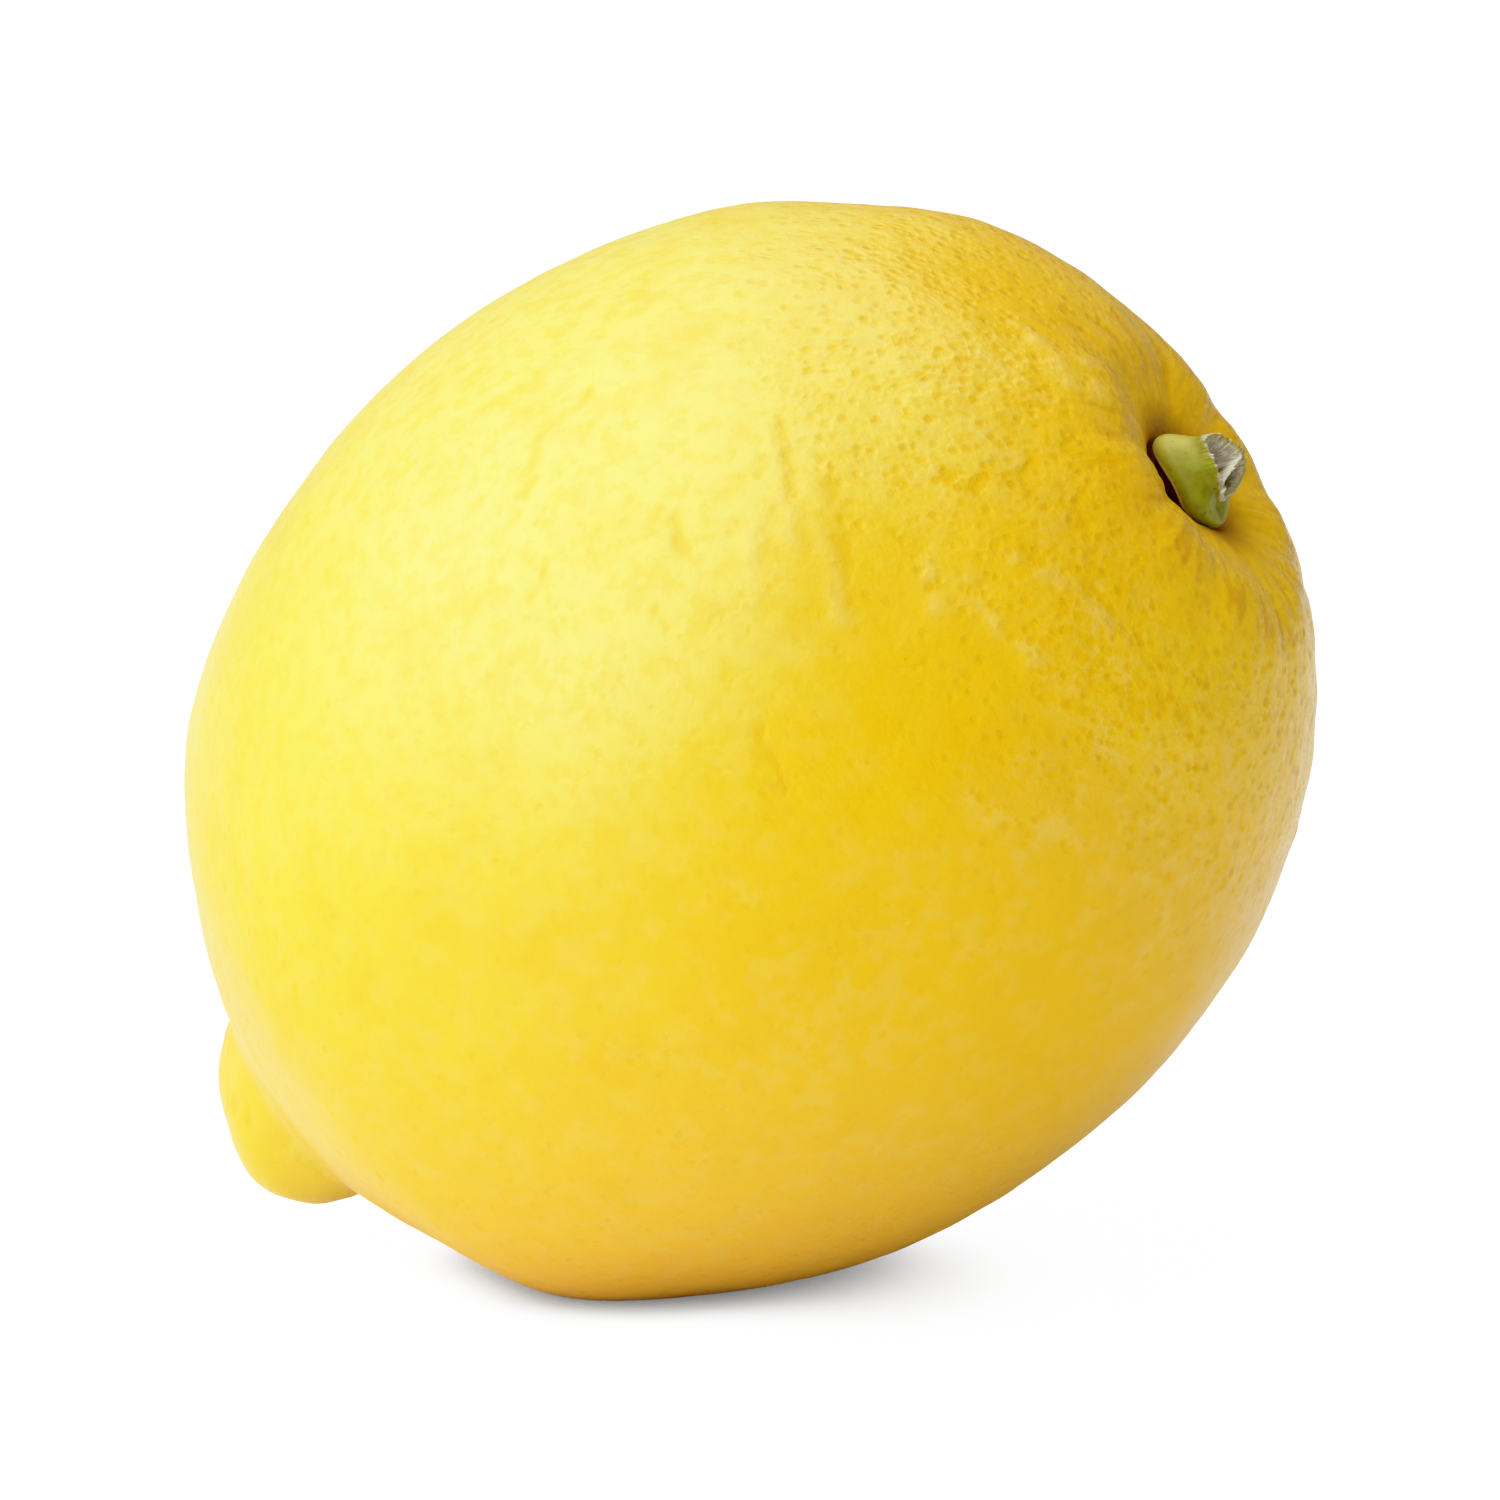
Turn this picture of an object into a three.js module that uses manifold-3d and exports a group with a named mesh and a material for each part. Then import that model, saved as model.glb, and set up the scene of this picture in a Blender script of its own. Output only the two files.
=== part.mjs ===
// A whole lemon lying on its side, with the calyx button of its cut stalk at the raised end.
// Millimetres, +Z up. The long axis lies in the XZ plane, with the stalk end toward +X.
//
// The fruit and its button are first shaped about an axis of their own, along +X.
// A station is a distance along that axis: negative toward the nipple, positive toward the stalk.
// An angle round it is in degrees: 0 faces -Y, 90 the upper side, 180 +Y and 270 the underside.

import * as THREE from 'three';
import { mergeVertices } from 'three/addons/utils/BufferGeometryUtils.js';
import Module from 'manifold-3d';

// How the fruit lies
const LEAN = 36;                  // the axis rises this many degrees toward the stalk
const CENTRE_HEIGHT = 31.4;       // from the resting surface up to station 0

// The rind, from the scar on the nipple to the middle of the button's seat: [station, radius]
const RIND_OUTLINE = [
  [-39.4, 0], [-39.7, 1.5], [-39.3, 3.4], [-38.0, 5.1], [-36.1, 6.2],     // nipple
  [-34.4, 7.2], [-33.0, 10.0], [-30.2, 15.2], [-24.6, 22.0],              // furrow and lower shoulder
  [-15.5, 27.2], [-4.5, 29.8], [7.0, 29.9], [18.0, 26.9],                 // body
  [26.5, 20.7], [31.6, 14.0], [33.65, 9.4], [33.3, 6.6],                  // upper shoulder
  [32.5, 4.7], [31.7, 3.9], [31.2, 2.9], [31.2, 0],                       // seat of the button
];
const SEAT = 31.2;                // station of the seat's floor
const STEPS_PER_SPAN = 3;
const FRUIT_SIDES = 72;

// Soft lumps and hollows that keep the fruit from being evenly round
const SWELLS = [
  { station: 28, around: 106, reach: 4.5, rise: 1.3 },     // crown of the upper shoulder
  { station: 31, around: 126, reach: 4, rise: 0.7 },
  { station: 33, around: 150, reach: 4, rise: 0.3 },
  { station: 20, around: 98, reach: 6, rise: 0.7 },
  { station: -3, around: 88, reach: 8, rise: 0.3 },        // upper side
  { station: -15, around: 90, reach: 7, rise: -0.2 },
  { station: -25, around: 85, reach: 5, rise: 0.5 },
  { station: 15, around: 22, reach: 5, rise: 0.5 },        // side that faces -Y
  { station: 19, around: 2, reach: 5, rise: -0.5 },
  { station: -13, around: 253, reach: 6, rise: 0.9 },      // underside, where the fruit rests
  { station: -15.5, around: 281, reach: 6, rise: -0.35 },
  { station: -8, around: 275, reach: 7, rise: 0.3 },
  { station: 11, around: 266, reach: 7, rise: -0.2 },
  { station: 20, around: 265, reach: 7, rise: -0.65 },
  { station: 28, around: 242, reach: 7, rise: -0.45 },
  { station: -30, around: 310, reach: 4, rise: -0.3 },     // beside the nipple
  { station: 9, around: 172, reach: 9, rise: 0.5 },        // side that faces +Y
  { station: 21, around: 196, reach: 6, rise: -0.5 },
  { station: -12, around: 150, reach: 8, rise: -0.4 },
  { station: -22, around: 205, reach: 6, rise: 0.4 },
];

// Shallow folds that run out of the button's seat over the upper shoulder
const FOLDS = 9;
const FOLD_DEPTH = 0.3;
const FOLD_START = 4.0;           // radius where the folds begin
const FOLD_END = 19.0;            // radius where the last trace of them ends
const FOLD_UNEVENNESS = 1.4;      // how far the folds bunch up, in radians of their wave

// The centreline: a low bow along its whole length, and a nipple that droops
const BOW_UP = -1.7;
const BOW_SIDE = -0.2;
const BOW_STATION = 35;           // the bow has these heights here
const DROOP_UP = -1.2;
const DROOP_START = -30;
const DROOP_LENGTH = 12;

// The calyx button: [radius, height over the seat], before the lobes and the cut are shaped
const BUTTON_OUTLINE = [
  [0, 0.3], [1.3, 0.3], [1.6, 0.9], [2.7, 1.2], [3.35, 1.5], [3.35, 2.0],  // foot and underside
  [2.9, 2.35], [2.4, 2.65], [2.05, 3.05], [1.85, 3.5],                     // lobes and stub
  [1.55, 3.7], [1.2, 3.5], [0.8, 2.9], [0, 2.7],                           // torn rim and hollow
];
const BUTTON_SIDES = 48;
const STUB_RADIUS = 2.0;          // the lobes leave the stub here
const LOBE_GAP = 0.35;            // the share of its reach that an edge keeps between two lobes
const LOBES = [
  { around: 66, width: 26, reach: 0.85 },
  { around: 145, width: 26, reach: 0.9 },
  { around: 214, width: 26, reach: 0.95 },
  { around: 292, width: 34, reach: 1.25 },
];
const CUT_START = 1.6;            // the slant of the cut grows from this height ...
const CUT_END = 3.6;              // ... up to this one
const CUT_SLOPE = 1.25;           // the stub's rim stands this much over and under its mean height
const CUT_HIGH_SIDE = 130;
const HOLLOW_RADIUS = 1.2;
const HOLLOW_SHIFT = 0.45;        // the hollow lies off the stub's middle ...
const HOLLOW_SIDE = 290;          // ... toward this angle

const RIND_COLOUR = 0xf4cf32;
const BUTTON_COLOUR = 0x9a9e2c;

const { degToRad, euclideanModulo, mapLinear, radToDeg, smoothstep } = THREE.MathUtils;

const wasm = await Module();
wasm.setup();

// Turns an outline of radii and heights about an axis along +X.
function turned(outline, sides) {
  const geometry = new THREE.LatheGeometry(outline, sides);
  geometry.rotateZ(-Math.PI / 2);
  return geometry;
}

// Moves each point of a geometry with the function shape(point, normal).
function reshape(geometry, shape) {
  const positions = geometry.attributes.position;
  const normals = geometry.attributes.normal;
  const point = new THREE.Vector3();
  const normal = new THREE.Vector3();
  for (let i = 0; i < positions.count; i += 1) {
    point.fromBufferAttribute(positions, i);
    normal.fromBufferAttribute(normals, i);
    shape(point, normal);
    positions.setXYZ(i, point.x, point.y, point.z);
  }
}

function radiusOf(point) {
  return Math.hypot(point.y, point.z);
}

function angleOf(point) {
  return Math.atan2(point.z, -point.y);
}

// The widest radius that an outline has at a station.
function radiusAt(outline, station) {
  let widest = 0;
  for (let i = 1; i < outline.length; i += 1) {
    const start = outline[i - 1];
    const end = outline[i];
    if ((start.y - station) * (end.y - station) <= 0) {
      widest = Math.max(widest, mapLinear(station, start.y, end.y, start.x, end.x));
    }
  }
  return widest;
}

function swellHeight(point, swell) {
  return swell.rise * Math.exp(-point.distanceToSquared(swell.centre) / (2 * swell.reach ** 2));
}

// Folds are deepest half-way between where they start and where they end.
function foldHeight(point) {
  const radius = radiusOf(point);
  if (point.x < 0 || radius < FOLD_START || radius > FOLD_END) {
    return 0;
  }
  const along = Math.sin(Math.PI * Math.sqrt((radius - FOLD_START) / (FOLD_END - FOLD_START)));
  const angle = angleOf(point);
  const wave = (1 + Math.cos(FOLDS * angle + FOLD_UNEVENNESS * Math.sin(2 * angle))) / 2;
  return -FOLD_DEPTH * along ** 2 * wave ** 2;
}

function followCentreline(point) {
  const droop = smoothstep((DROOP_START - point.x) / DROOP_LENGTH, 0, 1);
  const bow = (point.x / BOW_STATION) ** 2;
  point.y += BOW_SIDE * bow;
  point.z += BOW_UP * bow + DROOP_UP * droop;
}

// A solid for joining and cutting, from a closed geometry.
function solidFrom(geometry) {
  const shell = new THREE.BufferGeometry();
  shell.setAttribute('position', geometry.attributes.position);
  shell.setIndex(geometry.index);
  const merged = mergeVertices(shell, 1e-3);
  const corners = merged.index.array;
  const triangles = [];
  for (let i = 0; i < corners.length; i += 3) {
    const [a, b, c] = [corners[i], corners[i + 1], corners[i + 2]];
    if (a !== b && b !== c && c !== a) {
      triangles.push(a, b, c);
    }
  }
  return new wasm.Manifold(new wasm.Mesh({
    numProp: 3,
    vertProperties: new Float32Array(merged.attributes.position.array),
    triVerts: new Uint32Array(triangles),
  }));
}

function geometryFrom(solid) {
  const { vertProperties, triVerts } = solid.getMesh();
  const geometry = new THREE.BufferGeometry();
  geometry.setAttribute('position', new THREE.BufferAttribute(vertProperties, 3));
  geometry.setIndex(new THREE.BufferAttribute(triVerts, 1));
  geometry.computeVertexNormals();
  return geometry;
}

// Leans a shaped piece and lifts it so that the resting surface is at height 0.
function lay(geometry) {
  geometry.rotateY(-degToRad(LEAN));
  geometry.translate(0, 0, CENTRE_HEIGHT);
}

function fruitGeometry() {
  const spline = new THREE.SplineCurve(RIND_OUTLINE.map(([x, r]) => new THREE.Vector2(r, x)));
  const outline = spline.getPoints(STEPS_PER_SPAN * (RIND_OUTLINE.length - 1));
  const swells = SWELLS.map((swell) => {
    const radius = radiusAt(outline, swell.station);
    const angle = degToRad(swell.around);
    const centre = new THREE.Vector3(swell.station, -radius * Math.cos(angle), radius * Math.sin(angle));
    return { ...swell, centre };
  });
  const geometry = turned(outline, FRUIT_SIDES);
  reshape(geometry, (point, normal) => {
    const lift = swells.reduce((sum, swell) => sum + swellHeight(point, swell), foldHeight(point));
    if (radiusOf(point) > 0.01) {
      point.addScaledVector(normal, lift);
    }
    followCentreline(point);
  });
  lay(geometry);
  const ground = new THREE.BoxGeometry(200, 200, 20);
  ground.translate(0, 0, -10);
  return geometryFrom(solidFrom(geometry).subtract(solidFrom(ground)));
}

function lobeReach(around) {
  return LOBES.reduce((share, lobe) => {
    const away = euclideanModulo(around - lobe.around + 180, 360) - 180;
    return share + (lobe.reach - LOBE_GAP) * Math.exp(-((away / lobe.width) ** 2));
  }, LOBE_GAP);
}

// The lobes reach out from the stub, which is torn off at a slant and hollow.
function shapeButton(point) {
  const radius = radiusOf(point);
  const around = radToDeg(angleOf(point));
  const cut = smoothstep(point.x, CUT_START, CUT_END);
  if (radius > STUB_RADIUS) {
    const scale = (STUB_RADIUS + (radius - STUB_RADIUS) * lobeReach(around)) / radius;
    point.y *= scale;
    point.z *= scale;
  }
  const slant = Math.cos(degToRad(around - CUT_HIGH_SIDE)) * Math.min(radius / STUB_RADIUS, 1);
  point.x += CUT_SLOPE * slant * cut;
  const shift = HOLLOW_SHIFT * cut * (1 - smoothstep(radius, HOLLOW_RADIUS, STUB_RADIUS));
  point.y -= shift * Math.cos(degToRad(HOLLOW_SIDE));
  point.z += shift * Math.sin(degToRad(HOLLOW_SIDE));
  point.x += SEAT;
  followCentreline(point);
}

function buttonGeometry() {
  const spline = new THREE.SplineCurve(BUTTON_OUTLINE.map(([r, x]) => new THREE.Vector2(r, x)));
  const outline = spline.getPoints(2 * (BUTTON_OUTLINE.length - 1));
  const geometry = turned(outline, BUTTON_SIDES);
  reshape(geometry, shapeButton);
  lay(geometry);
  return geometryFrom(solidFrom(geometry));
}

function part(name, geometry, colour, roughness) {
  const material = new THREE.MeshStandardMaterial({ color: colour, roughness, metalness: 0 });
  const mesh = new THREE.Mesh(geometry, material);
  mesh.name = name;
  return mesh;
}

// Both pieces are moved so that the origin is under the middle of their box.
function lemon() {
  const group = new THREE.Group();
  group.add(part('fruit', fruitGeometry(), RIND_COLOUR, 0.42));
  group.add(part('calyx_button', buttonGeometry(), BUTTON_COLOUR, 0.7));
  const middle = new THREE.Box3().setFromObject(group, true).getCenter(new THREE.Vector3());
  group.position.set(-middle.x, -middle.y, 0);
  return group;
}

export default lemon();
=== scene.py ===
from math import radians, sin, cos, pi

import bpy
import numpy as np
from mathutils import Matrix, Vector, noise


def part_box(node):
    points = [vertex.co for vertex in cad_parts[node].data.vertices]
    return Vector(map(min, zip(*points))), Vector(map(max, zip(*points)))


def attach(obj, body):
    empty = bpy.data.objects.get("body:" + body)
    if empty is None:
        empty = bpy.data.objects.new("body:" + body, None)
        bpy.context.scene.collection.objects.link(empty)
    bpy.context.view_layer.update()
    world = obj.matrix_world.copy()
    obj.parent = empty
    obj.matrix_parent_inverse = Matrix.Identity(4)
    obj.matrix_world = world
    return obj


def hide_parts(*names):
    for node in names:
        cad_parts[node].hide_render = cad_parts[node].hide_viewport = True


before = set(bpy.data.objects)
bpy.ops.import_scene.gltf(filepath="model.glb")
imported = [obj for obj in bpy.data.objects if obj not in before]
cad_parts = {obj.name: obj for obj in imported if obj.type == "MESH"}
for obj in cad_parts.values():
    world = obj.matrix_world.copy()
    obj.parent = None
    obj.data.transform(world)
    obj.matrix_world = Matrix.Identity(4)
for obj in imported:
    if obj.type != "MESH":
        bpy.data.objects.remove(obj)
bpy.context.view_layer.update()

mm = 0.001      # outlines and reliefs below are in millimetres, Blender works in metres
tiny = 1e-12    # keeps a division from meeting zero


# a socket that can be added, taken away and multiplied, so that a finish reads as a sum of layers
class Wire:
    def __init__(self, finish, socket):
        self.finish = finish
        self.socket = socket

    def math(self, operation, first, second):
        return self.finish.node("ShaderNodeMath", {"operation": operation}, [first, second])

    def __add__(self, other): return self.math("ADD", self, other)
    def __radd__(self, other): return self.math("ADD", other, self)
    def __sub__(self, other): return self.math("SUBTRACT", self, other)
    def __rsub__(self, other): return self.math("SUBTRACT", other, self)
    def __mul__(self, other): return self.math("MULTIPLY", self, other)
    def __rmul__(self, other): return self.math("MULTIPLY", other, self)

    def least(self, other): return self.math("MINIMUM", self, other)

    def step(self, low, high):  # 0 below low, 1 above high, soft between; low may be the larger
        ends = {"Value": self, "From Min": low, "From Max": high}
        return self.finish.node("ShaderNodeMapRange", {"interpolation_type": "SMOOTHSTEP"}, ends)


class Finish:
    def __init__(self, name):
        self.material = bpy.data.materials.new(name)
        self.material.use_nodes = True
        self.tree = self.material.node_tree
        self.tree.nodes.clear()

    def node(self, kind, settings, inputs, output=0):
        made = self.tree.nodes.new(kind)
        for key, value in settings.items():
            setattr(made, key, value)
        pairs = inputs.items() if isinstance(inputs, dict) else enumerate(inputs)
        for key, value in pairs:
            if isinstance(value, Wire):
                self.tree.links.new(value.socket, made.inputs[key])
            else:
                made.inputs[key].default_value = value
        return Wire(self, made.outputs[output]) if made.outputs else None

    def mask(self, name):  # a value that the mesh carries at each point
        return self.node("ShaderNodeAttribute", {"attribute_name": name}, {}, 2)

    def place(self):  # where a point lies along, beside and above the fruit's axis, in millimetres
        return self.node("ShaderNodeAttribute", {"attribute_name": "place"}, {}, 1)

    def cloud(self, place, scale, detail=2.0, roughness=0.5, distortion=0.0):
        return self.node("ShaderNodeTexNoise", {}, {
            "Vector": place, "Scale": scale, "Detail": detail,
            "Roughness": roughness, "Distortion": distortion,
        })

    def cells(self, place, scale):  # the way to the nearest cell's centre, and its three values
        inputs = {"Vector": place, "Scale": scale}
        away = self.node("ShaderNodeTexVoronoi", {"feature": "F1"}, inputs)
        return away, Wire(self, away.socket.node.outputs[1])

    def tint(self, mask, under, over):  # under where mask is 0, over where it is 1
        # a Mix node's colour sockets are its seventh and eighth, its colour output the third
        return self.node("ShaderNodeMix", {"data_type": "RGBA"}, {0: mask, 6: under, 7: over}, 2)

    def parts(self, vector):
        split = self.node("ShaderNodeSeparateXYZ", {}, [vector])
        return [Wire(self, output) for output in split.socket.node.outputs]

    def close(self, fixed, changing, relief):  # what is the same all over is set, not linked
        bump = self.node("ShaderNodeBump", {}, {"Height": relief, "Distance": mm, "Strength": 1.0})
        surface = self.node("ShaderNodeBsdfPrincipled", {}, {**fixed, **changing, "Normal": bump})
        self.node("ShaderNodeOutputMaterial", {}, {"Surface": surface})
        return self.material


def paint(red, green, blue):  # screen values 0 to 255 into Blender's linear colour
    def linear(v):
        v = v / 255
        return v / 12.92 if v <= 0.04045 else ((v + 0.055) / 1.055) ** 2.4
    return (linear(red), linear(green), linear(blue), 1.0)


def grey(level):
    return (level, level, level, 1)


# both pieces are shaped along the fruit's own axis, then leaned and set on the floor
lie = {
    "lean": 36.0,           # degrees that the axis rises toward the stalk
    "centreHeight": 31.4,
    "bowUp": -1.7, "bowSide": -0.2, "bowStation": 35.0,         # how far the axis bows there
    "droopUp": -1.2, "droopStart": -30.0, "droopLength": 12.0,  # how far the nipple hangs
}


def soft(value, low, high):
    t = np.clip((value - low) / (high - low), 0, 1)
    return t * t * (3 - 2 * t)


def between(value, rise, fall):  # 1 in a band with soft edges
    return soft(value, *rise) * (1 - soft(value, *fall))


def bell(angles, centre, width):  # a rise round one angle, in degrees
    away = (angles - centre + 180) % 360 - 180
    return np.exp(-((away / width) ** 2))


def spline(points, steps):  # Catmull-Rom, the same curve as the solids are turned from
    p = np.array(points, float)
    t = np.linspace(0, len(p) - 1, steps)
    i = np.minimum(t.astype(int), len(p) - 2)
    w = (t - i)[:, None]
    before = p[np.maximum(i - 1, 0)]
    start, end = p[i], p[i + 1]
    after = p[np.minimum(i + 2, len(p) - 1)]
    leave, arrive = (end - before) / 2, (after - start) / 2
    cubed = 2 * start - 2 * end + leave + arrive
    squared = 3 * end - 3 * start - 2 * leave - arrive
    return cubed * w**3 + squared * w**2 + leave * w + start


def evenly(curve, rows):  # the same curve with its points an equal way apart
    run = np.concatenate([[0], np.cumsum(np.linalg.norm(np.diff(curve, axis=0), axis=1))])
    at = np.linspace(0, run[-1], rows)
    return np.stack([np.interp(at, run, curve[:, k]) for k in range(2)], 1)


def radiusAt(curve, station):  # the widest radius at a station
    low, high = curve[:-1], curve[1:]
    crosses = (low[:, 0] - station) * (high[:, 0] - station) <= 0
    low, high = low[crosses], high[crosses]
    share = (station - low[:, 0]) / (high[:, 0] - low[:, 0] + tiny)
    return (low[:, 1] + share * (high[:, 1] - low[:, 1])).max()


def turn(curve, columns):  # points and outward directions of a turned outline: [row, column, xyz]
    angle = np.linspace(0, 2 * pi, columns, endpoint=False)
    slope = np.gradient(curve, axis=0)
    out = np.stack([-slope[:, 1], slope[:, 0]], 1)
    out /= np.linalg.norm(out, axis=1, keepdims=True)

    def spin(pairs):
        along = pairs[:, :1] * np.ones(columns)
        away = pairs[:, 1:] * np.ones(columns)
        return np.stack([along, -away * np.cos(angle), away * np.sin(angle)], -1)
    return spin(curve), spin(out)


def fields(points, scales):  # smooth noise, the same each run, one field for each feature size
    flat = points.reshape(-1, 3)
    made = []
    for size in scales:
        values = [noise.noise(Vector(p)) for p in flat / size]
        made.append(np.array(values).reshape(points.shape[:-1]))
    return made


def rays(run, around):  # noise in lines that run out from the axis
    return fields(np.concatenate([run[..., None], around], -1), [1.0])[0]


def followCentreline(points):
    bow = (points[..., 0] / lie["bowStation"]) ** 2
    droop = soft(lie["droopStart"] - points[..., 0], 0, lie["droopLength"])
    moved = points.copy()
    moved[..., 1] += lie["bowSide"] * bow
    moved[..., 2] += lie["bowUp"] * bow + lie["droopUp"] * droop
    return moved


def lay(points):
    a = radians(lie["lean"])
    x, y, z = points[..., 0], points[..., 1], points[..., 2]
    height = x * sin(a) + z * cos(a) + lie["centreHeight"]
    return np.stack([x * cos(a) - z * sin(a), y, height], -1)


def withEnds(grid):  # a turned grid as one list, its first and last row drawn into a point each
    middle = grid[1:-1].reshape(-1, *grid.shape[2:])
    return np.concatenate([[grid[0].mean(0)], middle, [grid[-1].mean(0)]])


def meshOf(name, points, masks):  # a closed mesh with its faces turned outward
    rows, columns = points.shape[:2]
    ring = np.arange(columns)
    nextRing = (ring + 1) % columns
    verts = withEnds(points)
    faces = [(0, 1 + a, 1 + b) for a, b in zip(ring, nextRing)]
    for row in range(rows - 3):
        low = 1 + row * columns
        high = low + columns
        faces += [(low + a, high + a, high + b, low + b) for a, b in zip(ring, nextRing)]
    low = 1 + (rows - 3) * columns
    faces += [(len(verts) - 1, low + b, low + a) for a, b in zip(ring, nextRing)]
    mesh = bpy.data.meshes.new(name)
    mesh.from_pydata([tuple(v) for v in verts * mm], [], faces)
    mesh.polygons.foreach_set("use_smooth", [True] * len(faces))
    for key, values in masks.items():
        isPlace = values.ndim == 3
        attribute = mesh.attributes.new(key, "FLOAT_VECTOR" if isPlace else "FLOAT", "POINT")
        data = withEnds(values).astype(np.float32)
        attribute.data.foreach_set("vector" if isPlace else "value", data.ravel())
    mesh.validate()
    made = bpy.data.objects.new(name, mesh)
    bpy.context.scene.collection.objects.link(made)
    return made


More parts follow.
